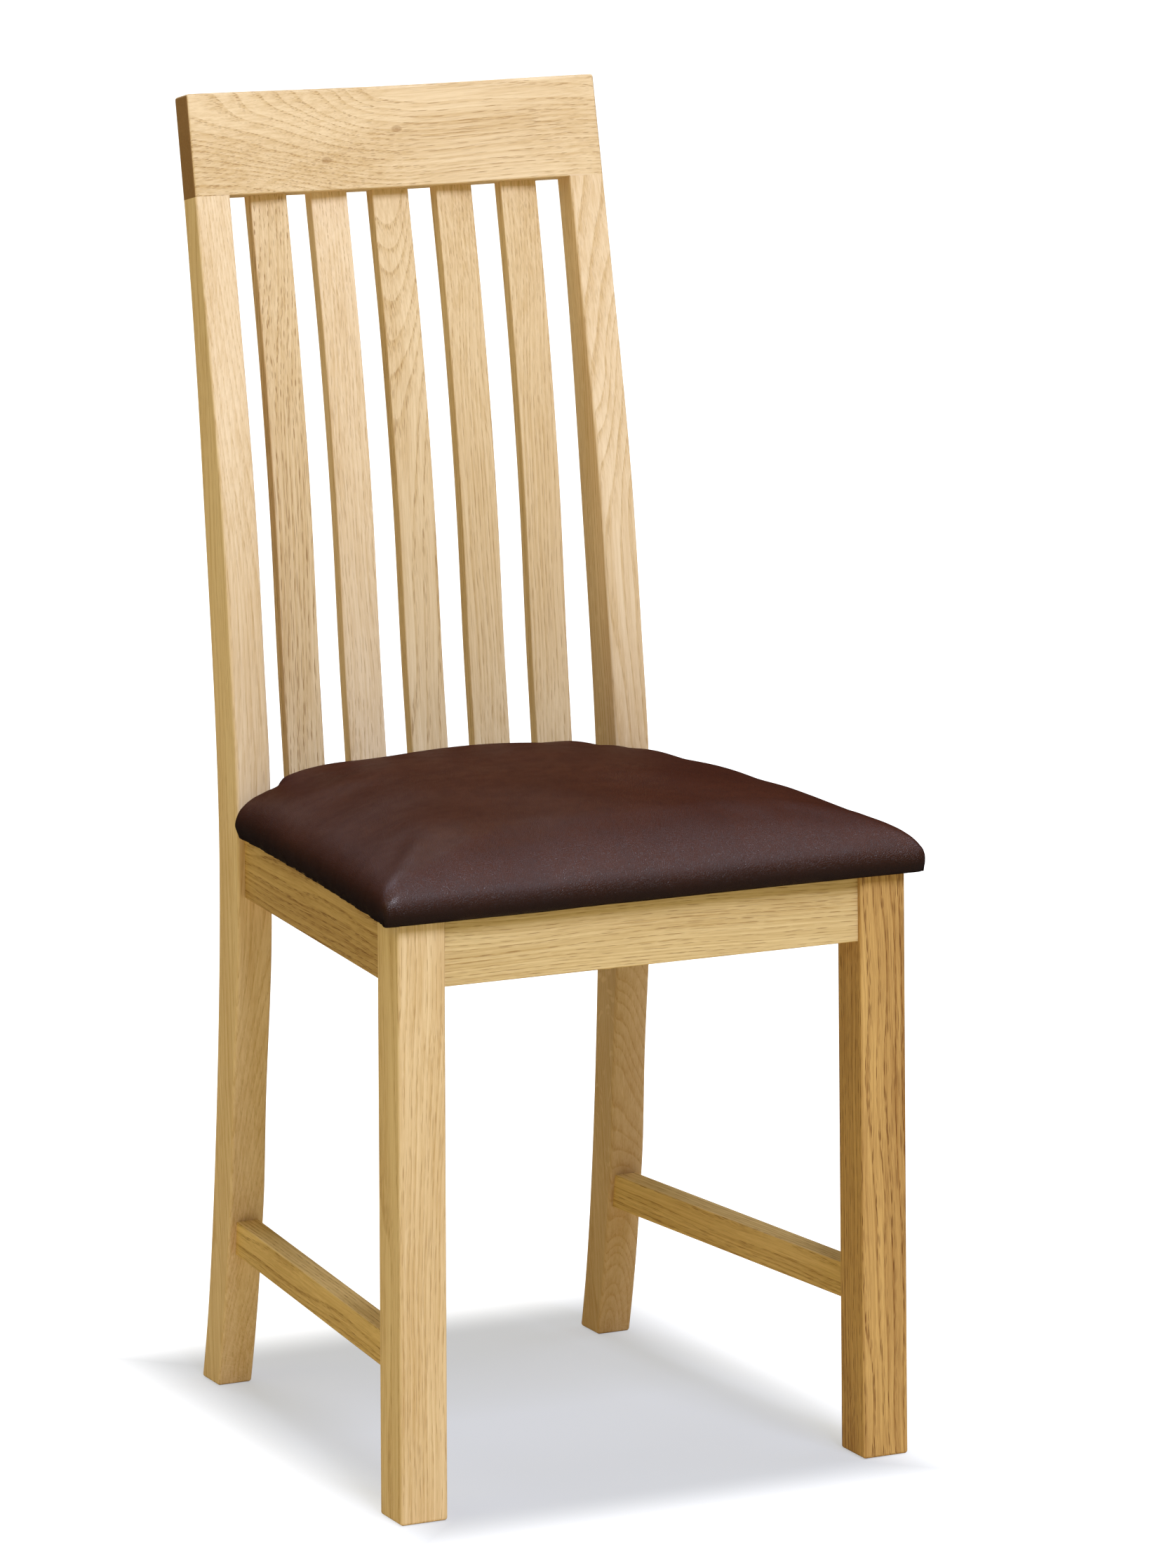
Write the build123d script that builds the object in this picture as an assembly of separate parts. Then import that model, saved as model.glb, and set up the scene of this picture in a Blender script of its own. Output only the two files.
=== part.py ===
"""Slat-back dining chair with a padded seat.

Millimetres, +Z up. The chair faces -Y, and left is -X, as seen by someone who
stands in front of it. The floor is Z = 0. Everything is drawn with Y = 0 at the
front faces of the front legs, and moved at the end so that the origin is the
centre of the chair's own footprint box.
"""
import os
from math import atan2, cos, degrees, radians, sin, tan

from build123d import *

# ---- overall frame -------------------------------------------------------
SPLAY = 0.43                 # degrees that every leg leans in as it rises
FRONT_HALF = 223.0           # outer face of a front leg at the floor
REAR_HALF = 190.8            # outer face of a rear leg at the floor
LEG = 40.0                   # front leg, square
POST_WIDTH = 30.5            # rear leg and back post, across
SEAT_TOP = 476.0             # top of the front legs and seat rails
RAIL_DEPTH = 53.5            # height of a seat rail's face
LEG_EDGE = 2.5               # rounding of the long edges and under the feet
SMALL_EDGE = 1.2             # rounding of rails, stretchers and slats
GLUE_GAP = 0.12              # clearance round a tenon or a dowel
END_GAP = 1.0                # empty depth past the end of a tenon or a dowel
TALL = 2000.0                # longer than anything in the chair
OVERRUN = 13.0               # a piece is drawn this much too long, then cut to fit
FINE_EDGE = 0.6              # rounding of screw heads and corner blocks
STRAIGHT = 0.9               # how closely an edge must follow a direction, to count
CURVED = 0.8                 # as running along it: straight and curved pieces

# ---- rear leg in side view: (Y, Z) ---------------------------------------
BACK_RECLINE = 11.4          # degrees, upper part of the back
JOINT_Y = 460.3              # front of the joint between post and top rail
JOINT_Z = 988.2
SEAT_FLAT_Y = 386.9          # upright flat that takes the side seat rail
SEAT_FLAT = (412.0, 486.0)
STRETCHER_FLAT = (108.0, 155.0)
STRETCHER_FLAT_Y = (417.2, 410.0)
FOOT_FRONT_Y = 440.0
FOOT_REAR_Y = 474.4
RECLINE_START_Z = 880.0      # the post is straight from here up
FOOT_SLOPE = -0.26           # the foot runs forward by this share of its rise
FRONT_EDGE_LOW = (403.0, 240.0)
FRONT_EDGE_HIGH = [(396.3, 600.0), (409.9, 720.0)]
REAR_EDGE = [(452.0, 120.0), (438.6, 240.0), (429.8, 360.0), (427.8, 470.0),
             (436.6, 600.0), (449.9, 720.0), (466.6, 860.0)]

# ---- top rail ------------------------------------------------------------
TOP_RAIL_HEIGHT = 83.7
TOP_RAIL_THICK = 27.0
TOP_RAIL_DISH = 13.4         # how far its middle is set back from its ends
TOP_RAIL_EDGE = 2.4

# ---- slats ---------------------------------------------------------------
SLAT_COUNT = 5
SLAT_PITCH = 56.3
SLAT_WIDTH = 32.4
SLAT_THICK = 13.0
SLAT_FOOT_Y = 410.6          # front face of an outer slat at the seat rail
SLAT_CURVE = [(423.1, 600.0), (431.4, 700.0), (443.5, 800.0), (460.0, 900.0)]
SLAT_FOOT_SLOPE = 0.07       # a slat leans back by this share of its rise at the foot
SLAT_RECESS = 11.8           # behind the front of the top rail
SLAT_MIDDLE_FOOT = 2.0       # the middle slat stands this much further back
SLAT_TENON = (24.0, 7.0, 13.0)   # width, thickness, length

# ---- seat rails and stretchers -------------------------------------------
RAIL_THICK = 22.0
FRONT_RAIL_INSET = 4.5
SIDE_RAIL_INSET = 6.2
REAR_RAIL_THICK = 24.0
REAR_RAIL_BACK_Y = 426.6
STRETCHER_TOP = 146.0
STRETCHER_HEIGHT = 29.0
STRETCHER_WIDTH = 19.5
STRETCHER_OUTER = (218.7, 183.3)  # outer face at its front and rear shoulder
STRETCHER_TENON = (9.0, 19.0, 15.0)  # thickness, height, length

# ---- dowels --------------------------------------------------------------
DOWEL = 9.0
DOWEL_REACH = 17.0           # length in each of the two pieces it joins
REAR_DOWEL_REACH = 15.0      # the same, where the thin posts take the rear seat rail
DOWEL_RISE = (15.0, 39.0)    # heights above the bottom of a seat rail
POST_DOWEL_AT = (9.5, 21.0)  # across the top of a post, from its outer face

# ---- corner blocks and screws --------------------------------------------
BLOCK_TOP = 475.0
BLOCK_HEIGHT = 38.0
BLOCK_SPREAD = 84.0          # along each rail, from the inner corner
BLOCK_THICK = 30.0
SCREW = 4.0
SCREW_HEAD = 8.0
SCREW_HEAD_THICK = 3.0
SCREW_BORE = 9.0             # wide part of a screw's hole, which lets its head in
SCREW_BORE_RUN = 40.0        # drilled from outside the block
BLOCK_SCREW_BITE = 14.0      # depth of a block screw in the rail
BLOCK_SCREW_INSET = 14.0     # from the tip of the block's foot, along the rail
SCREW_COVER = 16.0           # block wood left under a screw head
SEAT_SCREW_BITE = 9.0
SEAT_SCREW_SINK = 8.0        # seat screw heads, above the bottom of their block

# ---- seat pad ------------------------------------------------------------
PAD_FRONT_Y = -13.0
PAD_REAR_Y = 384.0
PAD_FRONT_HALF = 235.5
PAD_REAR_HALF = 195.5
PAD_CROWN = 550.0            # highest point
PAD_DOME = 850.0             # radius of the crown
PAD_TONGUE_HALF = 152.5      # the pad's rear tongue, between the posts
PAD_TONGUE_Y = 407.5
PAD_CORNERS = (26.0, 18.0, 4.0, 11.0)  # front, rear, foot of the tongue, its tip
PAD_SHOULDER = 10.0
PAD_HEM = 5.0
LEATHER = 1.2
PAD_GAP = 0.4                # wadding space between cover, foam and board
BOARD_THICK = 12.0
BOARD_INSET = 5.0            # board edge inside the lining
TURN_UNDER_INSIDE = 14.0     # folded leather ends this far inside the seat rails
OPENING_REACH = 20.0         # its opening is cut this far up and down from the seat rails
DUST_COVER_THICK = 0.6
DUST_COVER_CLEAR = 2.0       # from the inner faces of the seat rails
DUST_COVER_CORNER = 34.0     # cut across the corners, clear of the legs
STAPLE = (10.0, 1.2, 0.5)    # crown length, width, thickness
STAPLE_LEG = 8.0
STAPLES_PER_SIDE = 6
STAPLE_MARGIN = 5.0          # inside the edge of the dust cover

SEAT_RAIL_BOTTOM = SEAT_TOP - RAIL_DEPTH


# ---- helpers -------------------------------------------------------------
def lean_x(foot_x, z):
    """X at height z of a leg face that meets the floor at foot_x."""
    return foot_x - z * tan(radians(SPLAY))


def tool_box(x0, x1, y0, y1, z0, z1):
    """A plain box between two corners."""
    return Pos(x0, y0, z0) * Box(x1 - x0, y1 - y0, z1 - z0, align=(Align.MIN,) * 3)


def along(direction, share=STRAIGHT):
    """A test for the edges that run nearly along a direction."""
    unit = Vector(direction).normalized()
    return lambda edge: abs(edge.tangent_at(0.5).dot(unit)) > share


def rod(start, direction, length, diameter):
    """A round bar from a point along a direction."""
    return extrude(Plane(start, z_dir=direction) * Circle(diameter / 2), length)


def dowel(centre, direction, reach=DOWEL_REACH):
    """A dowel centred on a joint face, with the hole that it needs."""
    unit = Vector(direction).normalized()
    start = Vector(centre) - unit * reach
    hole_start = start - unit * END_GAP
    pin = rod(start, unit, 2 * reach, DOWEL)
    hole = rod(hole_start, unit, 2 * (reach + END_GAP), DOWEL + 2 * GLUE_GAP)
    return pin, hole


def cut_all(solid, tools):
    """One solid with a list of tools cut out of it."""
    for tool in tools:
        solid = solid - tool
    return solid.solids().sort_by(SortBy.VOLUME)[-1]


def mirrored(shape):
    """The same piece on the left-hand side."""
    return mirror(shape, Plane.YZ)


# ---- legs ----------------------------------------------------------------
def rounded_leg(leg):
    """A leg with its long edges and the edges under its foot rounded."""
    long_edges = leg.edges().filter_by(along((0, 0, 1), CURVED))
    foot_edges = leg.faces().sort_by(Axis.Z)[0].edges()
    return fillet(long_edges + foot_edges, LEG_EDGE)


def front_leg_blank():
    """Right front leg before its joints are cut."""
    section = Pos(FRONT_HALF - LEG / 2, LEG / 2) * Rectangle(LEG, LEG)
    slope = Vector(-tan(radians(SPLAY)), 0, 1)
    leg = extrude(section, SEAT_TOP * slope.length, dir=slope)
    return rounded_leg(leg)


def rail_plane():
    """Underside of the top rail: local Y runs back through its thickness."""
    tilt = radians(BACK_RECLINE)
    return Plane(origin=(0, JOINT_Y, JOINT_Z), x_dir=(1, 0, 0), z_dir=(0, sin(tilt), cos(tilt)))


def post_outline():
    """Side view of a rear leg, drawn in YZ, from the floor to above the joint."""
    lift = Vector(0, sin(radians(BACK_RECLINE)), cos(radians(BACK_RECLINE)))
    back = Vector(0, cos(radians(BACK_RECLINE)), -sin(radians(BACK_RECLINE)))
    joint = Vector(0, JOINT_Y, JOINT_Z)
    recline_start = joint - lift * ((JOINT_Z - RECLINE_START_Z) / lift.Z)
    flat = [Vector(0, SEAT_FLAT_Y, z) for z in SEAT_FLAT]
    low_flat = [Vector(0, y, z) for y, z in zip(STRETCHER_FLAT_Y, STRETCHER_FLAT)]
    foot_front = Vector(0, FOOT_FRONT_Y, 0)
    foot_rear = Vector(0, FOOT_REAR_Y, 0)
    up = Vector(0, 0, 1)
    low_slope = low_flat[1] - low_flat[0]
    low_point = Vector(0, *FRONT_EDGE_LOW)
    high_points = [Vector(0, y, z) for y, z in FRONT_EDGE_HIGH]
    top_front = joint + lift * OVERRUN
    top_rear = joint + back * TOP_RAIL_THICK + lift * OVERRUN
    foot_slope = Vector(0, FOOT_SLOPE, 1)
    front_edges = [
        Spline(foot_front, low_flat[0], tangents=(foot_slope, low_slope)),
        Line(low_flat[0], low_flat[1]),
        Spline(low_flat[1], low_point, flat[0], tangents=(low_slope, up)),
        Line(flat[0], flat[1]),
        Spline(flat[1], *high_points, recline_start, tangents=(up, lift)),
        Line(recline_start, top_front),
    ]
    rear_joint = joint + back * TOP_RAIL_THICK
    rear_points = [foot_rear] + [Vector(0, y, z) for y, z in REAR_EDGE] + [rear_joint, top_rear]
    rear_edge = Spline(rear_points, tangents=(foot_slope, lift))
    ends = [Line(top_front, top_rear), Line(foot_front, foot_rear)]
    return make_face(Wire(front_edges + [rear_edge] + ends))


def rear_leg_blank():
    """Right rear leg and back post in one piece, before its joints are cut."""
    board = extrude(post_outline(), POST_WIDTH, dir=(-1, 0, 0))
    board = Pos(REAR_HALF, 0, 0) * Rot(0, -SPLAY, 0) * board
    above = rail_plane() * Box(TALL, TALL, TALL, align=(Align.CENTER, Align.CENTER, Align.MIN))
    below = Box(TALL, TALL, TALL, align=(Align.CENTER, Align.CENTER, Align.MAX))
    leg = (board - above - below).solids()[0]
    return rounded_leg(leg)


# ---- top rail ------------------------------------------------------------
def dish_at(x):
    """How far the top rail's front is set back at x."""
    return TOP_RAIL_DISH * cos(radians(90) * x / REAR_HALF) ** 2


def top_rail_blank():
    """Dished rail, its ends cut to the lean of the posts."""
    stations = [-1.0, -0.5, 0.0, 0.5, 1.0]
    front = [(s * REAR_HALF, dish_at(s * REAR_HALF)) for s in stations]
    rear = [(x, y + TOP_RAIL_THICK) for x, y in front]
    flat = ((1, 0), (1, 0))
    outline = [
        Spline(front, tangents=flat),
        Line(front[-1], rear[-1]),
        Spline(rear, tangents=flat),
        Line(rear[0], front[0]),
    ]
    plane = rail_plane()
    rail = plane * extrude(make_face(Wire(outline)), TOP_RAIL_HEIGHT)
    beyond = Pos(REAR_HALF, 0, 0) * Rot(0, -SPLAY, 0) * tool_box(0, TALL, -TALL, TALL, -TALL, TALL)
    rail = (rail - beyond - mirrored(beyond)).solids()[0]
    inner = lean_x(REAR_HALF - POST_WIDTH, JOINT_Z)
    between = tool_box(-inner, inner, -TALL, TALL, 0, TALL)
    middle = (rail & between).solids()[0]
    ends = rail - between
    low = [e for e in middle.edges() if abs(plane.to_local_coords(e.center()).Z) < SMALL_EDGE]
    long_low = ShapeList(low).sort_by(SortBy.LENGTH)[-2:]
    rail = (fillet(long_low, SMALL_EDGE) + ends).solids()[0]
    rounded = [e for e in rail.edges() if plane.to_local_coords(e.center()).Z > TOP_RAIL_HEIGHT / 2]
    return fillet(ShapeList(rounded), TOP_RAIL_EDGE)


# ---- slats ---------------------------------------------------------------
def slat_outline(middle, offset):
    """Side view of a slat, drawn in YZ. middle is 1 for the centre slat, 0 for the outer."""
    plane = rail_plane()
    lift = plane.z_dir
    top = plane.from_local_coords((0, offset + SLAT_RECESS, 0))
    top_rear = plane.from_local_coords((0, offset + SLAT_RECESS + SLAT_THICK, 0))
    drop = top.Y - plane.from_local_coords((0, dish_at(2 * SLAT_PITCH) + SLAT_RECESS, 0)).Y
    foot_push = SLAT_MIDDLE_FOOT * middle
    points = [Vector(0, SLAT_FOOT_Y + foot_push, SEAT_TOP)]
    for y, z in SLAT_CURVE:
        share = (z - SEAT_TOP) / (JOINT_Z - SEAT_TOP)
        points.append(Vector(0, y + foot_push * (1 - share) + drop * share, z))
    front = points + [top]
    rear = [Vector(0, p.Y + SLAT_THICK, p.Z) for p in points] + [top_rear]
    start = Vector(0, SLAT_FOOT_SLOPE, 1)
    edges = [
        Spline(front, tangents=(start, lift)),
        Line(top, top_rear),
        Spline(rear, tangents=(start, lift)),
        Line(front[0], rear[0]),
    ]
    return make_face(Wire(edges))


def slat_parts(number):
    """A slat with its two tenons, and the two mortises that they need."""
    place = number - (SLAT_COUNT + 1) / 2
    x = place * SLAT_PITCH
    middle = 1 - (2 * place / (SLAT_COUNT - 1)) ** 2
    offset = dish_at(x)
    blank = extrude(slat_outline(middle, offset), SLAT_WIDTH / 2, dir=(1, 0, 0), both=True)
    blank = fillet(blank.edges().filter_by(along((0, 0, 1), CURVED)), SMALL_EDGE)
    slat = Pos(x, 0, 0) * blank
    width, thick, length = SLAT_TENON
    foot_y = SLAT_FOOT_Y + SLAT_MIDDLE_FOOT * middle + SLAT_THICK / 2
    low = Pos(x, foot_y, SEAT_TOP) * Box(width, thick, 2 * length)
    head = rail_plane() * Pos(x, offset + SLAT_RECESS + SLAT_THICK / 2, 0)
    high = head * Box(width, thick, 2 * length)
    gap = 2 * GLUE_GAP
    deep = 2 * (length + END_GAP)
    low_mortise = Pos(x, foot_y, SEAT_TOP) * Box(width + gap, thick + gap, deep)
    high_mortise = head * Box(width + gap, thick + gap, deep)
    return slat + low + high, low_mortise, high_mortise


# ---- seat rails and stretchers -------------------------------------------
def front_rail_blank(legs):
    """Front seat rail, cut to fit between the front legs."""
    reach = FRONT_HALF - LEG / 2
    y0 = FRONT_RAIL_INSET
    bar = tool_box(-reach, reach, y0, y0 + RAIL_THICK, SEAT_RAIL_BOTTOM, SEAT_TOP)
    bar = fillet(bar.edges().filter_by(Axis.X).sort_by(Axis.Z)[:2], SMALL_EDGE)
    return cut_all(bar, legs)


def rear_rail_blank(legs):
    """Rear seat rail, cut to fit between the rear legs."""
    reach = REAR_HALF - POST_WIDTH / 2
    y0 = REAR_RAIL_BACK_Y - REAR_RAIL_THICK
    bar = tool_box(-reach, reach, y0, REAR_RAIL_BACK_Y, SEAT_RAIL_BOTTOM, SEAT_TOP)
    bar = fillet(bar.edges().filter_by(Axis.X), SMALL_EDGE)
    return cut_all(bar, legs)


def side_line():
    """Outer face of the right side seat rail in plan, at its two shoulders."""
    middle = (SEAT_TOP + SEAT_RAIL_BOTTOM) / 2
    front = Vector(lean_x(FRONT_HALF, middle) - SIDE_RAIL_INSET, LEG)
    rear = Vector(lean_x(REAR_HALF, middle) - SIDE_RAIL_INSET, SEAT_FLAT_Y)
    return front, rear


def slanted_bar(front, rear, thick, z0, z1, past):
    """A bar whose outer face runs between two plan points, longer by past at each end."""
    unit = (rear - front).normalized()
    inward = Vector(-abs(unit.Y), unit.X).normalized()
    a = front - unit * past
    b = rear + unit * past
    corners = [a, b, b + inward * thick, a + inward * thick]
    face = make_face(Polyline([(p.X, p.Y) for p in corners], close=True))
    return Pos(0, 0, z0) * extrude(face, z1 - z0)


def side_rail_blank(legs):
    """Right side seat rail, cut to fit between the front and rear leg."""
    front, rear = side_line()
    bar = slanted_bar(front, rear, RAIL_THICK, SEAT_RAIL_BOTTOM, SEAT_TOP, OVERRUN)
    bar = fillet(bar.edges().filter_by(along(rear - front)).sort_by(Axis.Z)[:2], SMALL_EDGE)
    return cut_all(bar, legs)


def stretcher_parts(legs):
    """Right side stretcher with its tenons, and the mortise tool for both legs."""
    mid_z = STRETCHER_TOP - STRETCHER_HEIGHT / 2
    share = (mid_z - STRETCHER_FLAT[0]) / (STRETCHER_FLAT[1] - STRETCHER_FLAT[0])
    rear_y = STRETCHER_FLAT_Y[0] + share * (STRETCHER_FLAT_Y[1] - STRETCHER_FLAT_Y[0])
    front = Vector(STRETCHER_OUTER[0], LEG)
    rear = Vector(STRETCHER_OUTER[1], rear_y)
    bottom = STRETCHER_TOP - STRETCHER_HEIGHT
    bar = slanted_bar(front, rear, STRETCHER_WIDTH, bottom, STRETCHER_TOP, OVERRUN)
    bar = fillet(bar.edges().filter_by(along(rear - front)), SMALL_EDGE)
    bar = cut_all(bar, legs)
    thick, height, length = STRETCHER_TENON
    unit = (rear - front).normalized()
    inward = Vector(-unit.Y, unit.X)
    shift = inward * ((STRETCHER_WIDTH - thick) / 2)
    low = mid_z - height / 2
    tenon = slanted_bar(front + shift, rear + shift, thick, low, low + height, length)
    loose = shift - inward * GLUE_GAP
    mortise = slanted_bar(front + loose, rear + loose, thick + 2 * GLUE_GAP,
                          low - GLUE_GAP, low + height + GLUE_GAP, length + END_GAP)
    return bar + tenon, mortise


# ---- dowels for the right half -------------------------------------------
def rail_dowels():
    """Dowel and hole pairs of the right-hand seat rail joints, by joint."""
    heights = [SEAT_RAIL_BOTTOM + rise for rise in DOWEL_RISE]
    front, rear = side_line()
    unit = (rear - front).normalized()
    inward = Vector(-unit.Y, unit.X) * (RAIL_THICK / 2)
    start = front + inward
    end = rear + inward
    front_y = FRONT_RAIL_INSET + RAIL_THICK / 2
    rear_y = REAR_RAIL_BACK_Y - REAR_RAIL_THICK / 2
    pairs = {"front_rail": [], "side_rail_front": [], "side_rail_rear": [], "rear_rail": []}
    for z in heights:
        leg_face = lean_x(FRONT_HALF - LEG, z)
        post_face = lean_x(REAR_HALF - POST_WIDTH, z)
        pairs["front_rail"].append(dowel((leg_face, front_y, z), (1, 0, 0)))
        pairs["side_rail_front"].append(dowel((start.X, start.Y, z), (0, 1, 0)))
        pairs["side_rail_rear"].append(dowel((end.X, end.Y, z), (0, 1, 0)))
        pairs["rear_rail"].append(dowel((post_face, rear_y, z), (1, 0, 0), REAR_DOWEL_REACH))
    return pairs


def post_dowels():
    """Dowels between the right post and the top rail."""
    plane = rail_plane()
    outer = lean_x(REAR_HALF, JOINT_Z)
    pairs = []
    for inset in POST_DOWEL_AT:
        centre = plane.from_local_coords((outer - inset, TOP_RAIL_THICK / 2, 0))
        pairs.append(dowel(centre, plane.z_dir))
    return pairs


# ---- corner blocks -------------------------------------------------------
def corner_block(corner, along_a, along_b):
    """A block across an inner corner, with its screws and their holes.

    along_a and along_b are unit vectors along the two rails, away from the corner.
    """
    spread = BLOCK_SPREAD
    near = spread - BLOCK_THICK
    plan = [corner + along_a * near, corner + along_a * spread,
            corner + along_b * spread, corner + along_b * near]
    face = make_face(Polyline([(p.X, p.Y) for p in plan], close=True))
    bottom = BLOCK_TOP - BLOCK_HEIGHT
    block = Pos(0, 0, bottom) * extrude(face, BLOCK_HEIGHT)
    block = fillet(block.edges().filter_by(Axis.Z), FINE_EDGE)
    middle = (plan[0] + plan[1] + plan[2] + plan[3]) / 4
    screws = []
    holes = []
    mid_z = bottom + BLOCK_HEIGHT / 2
    for rail_dir, other in ((along_a, along_b), (along_b, along_a)):
        into = (rail_dir * rail_dir.dot(other) - other).normalized()
        foot = corner + rail_dir * (spread - BLOCK_SCREW_INSET - SCREW_COVER * rail_dir.dot(other))
        seat = Vector(foot.X, foot.Y, mid_z) - into * SCREW_COVER
        screw, hole = screw_and_hole(seat, into, SCREW_COVER + BLOCK_SCREW_BITE)
        screws.append(screw)
        holes.append(hole)
    head_z = bottom + SEAT_SCREW_SINK
    rise = SEAT_TOP + LEATHER + SEAT_SCREW_BITE - head_z
    seat_screw, seat_hole = screw_and_hole(Vector(middle.X, middle.Y, head_z), Vector(0, 0, 1), rise)
    block = cut_all(block, holes + [seat_hole])
    return block, screws, holes, seat_screw, seat_hole


def screw_and_hole(seat, direction, length):
    """A pan-head screw whose head bears on the point seat, and its stepped hole."""
    head = rod(seat - direction * SCREW_HEAD_THICK, direction, SCREW_HEAD_THICK, SCREW_HEAD)
    head = fillet(head.edges().filter_by(GeomType.CIRCLE), FINE_EDGE)
    slot = rod(seat - direction * SCREW_HEAD_THICK, direction, SCREW_HEAD_THICK / 2, SCREW / 2)
    shank = rod(seat, direction, length, SCREW)
    hole = rod(seat, direction, length + END_GAP, SCREW + 2 * GLUE_GAP)
    bore = rod(seat - direction * SCREW_BORE_RUN, direction, SCREW_BORE_RUN, SCREW_BORE)
    return head + shank - slot, hole + bore


def right_corner_blocks():
    """The two right-hand corner blocks, front and rear."""
    front, rear = side_line()
    unit = (rear - front).normalized()
    inward = Vector(-unit.Y, unit.X)
    inner = front + inward * RAIL_THICK
    front_y = FRONT_RAIL_INSET + RAIL_THICK
    rear_y = REAR_RAIL_BACK_Y - REAR_RAIL_THICK
    front_corner = inner + unit * ((front_y - inner.Y) / unit.Y)
    rear_corner = inner + unit * ((rear_y - inner.Y) / unit.Y)
    left = Vector(-1, 0)
    return corner_block(front_corner, left, unit), corner_block(rear_corner, left, -unit)


# ---- seat pad ------------------------------------------------------------
def pad_outline(inset):
    """Plan face of the pad, moved in by inset.

    It widens towards the front. At the rear a tongue runs on between the posts
    and over the rear seat rail.
    """
    lean = atan2(PAD_FRONT_HALF - PAD_REAR_HALF, PAD_REAR_Y - PAD_FRONT_Y)
    side = inset / cos(lean)
    rear_y = PAD_REAR_Y - inset
    tongue = PAD_TONGUE_HALF - inset
    front = (PAD_FRONT_HALF - side - inset * tan(lean), PAD_FRONT_Y + inset)
    rear = (PAD_REAR_HALF - side + inset * tan(lean), rear_y)
    half = [front, rear, (tongue, rear_y), (tongue, PAD_TONGUE_Y - inset)]
    twin = [(-x, y) for x, y in reversed(half)]
    face = make_face(Polyline(half + twin, close=True))
    for (x, y), radius in zip(half, PAD_CORNERS):
        hollow = x == tongue and y == rear_y
        rounding = radius + inset if hollow else radius - inset
        corners = [v for v in face.vertices() if abs(v.Y - y) + abs(abs(v.X) - x) < GLUE_GAP]
        face = fillet(ShapeList(corners), rounding)
    return face


def pad_prism(inset, z0, z1):
    """An upright prism on the pad's plan outline."""
    return Pos(0, 0, z0) * extrude(pad_outline(inset), z1 - z0)


def pad_body(inset, z0):
    """The crowned form of the pad, moved in by inset, standing on z0."""
    prism = pad_prism(inset, z0, PAD_CROWN + OVERRUN)
    centre_y = (PAD_FRONT_Y + PAD_TONGUE_Y) / 2
    dome = Pos(0, centre_y, PAD_CROWN - PAD_DOME) * Sphere(PAD_DOME - inset)
    body = (prism & dome).solids()[0]
    rim = body.faces().sort_by(SortBy.AREA)[-2:].sort_by(Axis.Z)
    body = fillet(rim[-1].edges(), PAD_SHOULDER - inset)
    floor = body.faces().sort_by(Axis.Z)[0]
    return fillet(floor.edges(), PAD_HEM - inset)


def staple_at(x, y, turn):
    """A staple under the pad, crown down, legs up through cloth and leather."""
    crown, width, thick = STAPLE
    base = SEAT_TOP - DUST_COVER_THICK
    bar = Pos(0, 0, -thick / 2) * Box(crown, width, thick)
    leg = Box(thick, width, STAPLE_LEG, align=(Align.CENTER, Align.CENTER, Align.MIN))
    offset = (crown - thick) / 2
    shape = bar + Pos(offset, 0, 0) * leg + Pos(-offset, 0, 0) * leg
    return Pos(x, y, base) * Rot(0, 0, turn) * shape


def opening_corners(inset):
    """Plan of the space inside the seat rails, short of the posts, moved in by inset."""
    front, rear = side_line()
    unit = (rear - front).normalized()
    inner = front + Vector(-unit.Y, unit.X) * (RAIL_THICK + inset)
    y0 = FRONT_RAIL_INSET + RAIL_THICK + inset
    y1 = PAD_REAR_Y - inset
    xs = [inner.X + unit.X / unit.Y * (y - inner.Y) for y in (y0, y1)]
    return [Vector(-xs[0], y0), Vector(xs[0], y0), Vector(xs[1], y1), Vector(-xs[1], y1)]


def flat_prism(corners, z0, z1):
    """An upright prism on a ring of plan points."""
    face = make_face(Polyline([(p.X, p.Y) for p in corners], close=True))
    return Pos(0, 0, z0) * extrude(face, z1 - z0)


def staples():
    """Staples all round the edge of the dust cover."""
    corners = opening_corners(DUST_COVER_CLEAR + STAPLE_MARGIN)
    result = []
    for here, there in zip(corners, corners[1:] + corners[:1]):
        run = there - here
        turn = degrees(atan2(run.Y, run.X))
        for step in range(STAPLES_PER_SIDE):
            spot = here + run * ((step + 1) / (STAPLES_PER_SIDE + 1))
            result.append(staple_at(spot.X, spot.Y, turn))
    return result


def seat_pad(seat_holes):
    """Leather cover, foam, board, dust cover and staples."""
    pins = staples()
    board_z = SEAT_TOP + LEATHER
    board_top = board_z + BOARD_THICK
    lining = LEATHER + PAD_GAP
    board = pad_prism(lining + BOARD_INSET, board_z, board_top)
    board = cut_all(board, pins + seat_holes)
    opening = flat_prism(opening_corners(TURN_UNDER_INSIDE),
                         SEAT_TOP - OPENING_REACH, SEAT_TOP + OPENING_REACH)
    shell = pad_body(0, SEAT_TOP) - pad_body(LEATHER, board_z)
    cover = cut_all(shell - opening, pins)
    foam = pad_body(lining, board_z) & pad_prism(0, board_top, PAD_CROWN + OVERRUN)
    sheet = flat_prism(opening_corners(DUST_COVER_CLEAR), SEAT_TOP - DUST_COVER_THICK, SEAT_TOP)
    sheet = chamfer(sheet.edges().filter_by(Axis.Z), DUST_COVER_CORNER)
    dust_cover = cut_all(sheet, pins + seat_holes)
    return {
        "seat_cover": cover,
        "seat_foam": foam.solids()[0],
        "seat_board": board,
        "seat_dust_cover": dust_cover,
        "seat_staples": pins,
    }


# ---- the whole chair -----------------------------------------------------
def both(shapes):
    """Right-hand solids and their left-hand twins."""
    return list(shapes) + [mirrored(shape) for shape in shapes]


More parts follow.
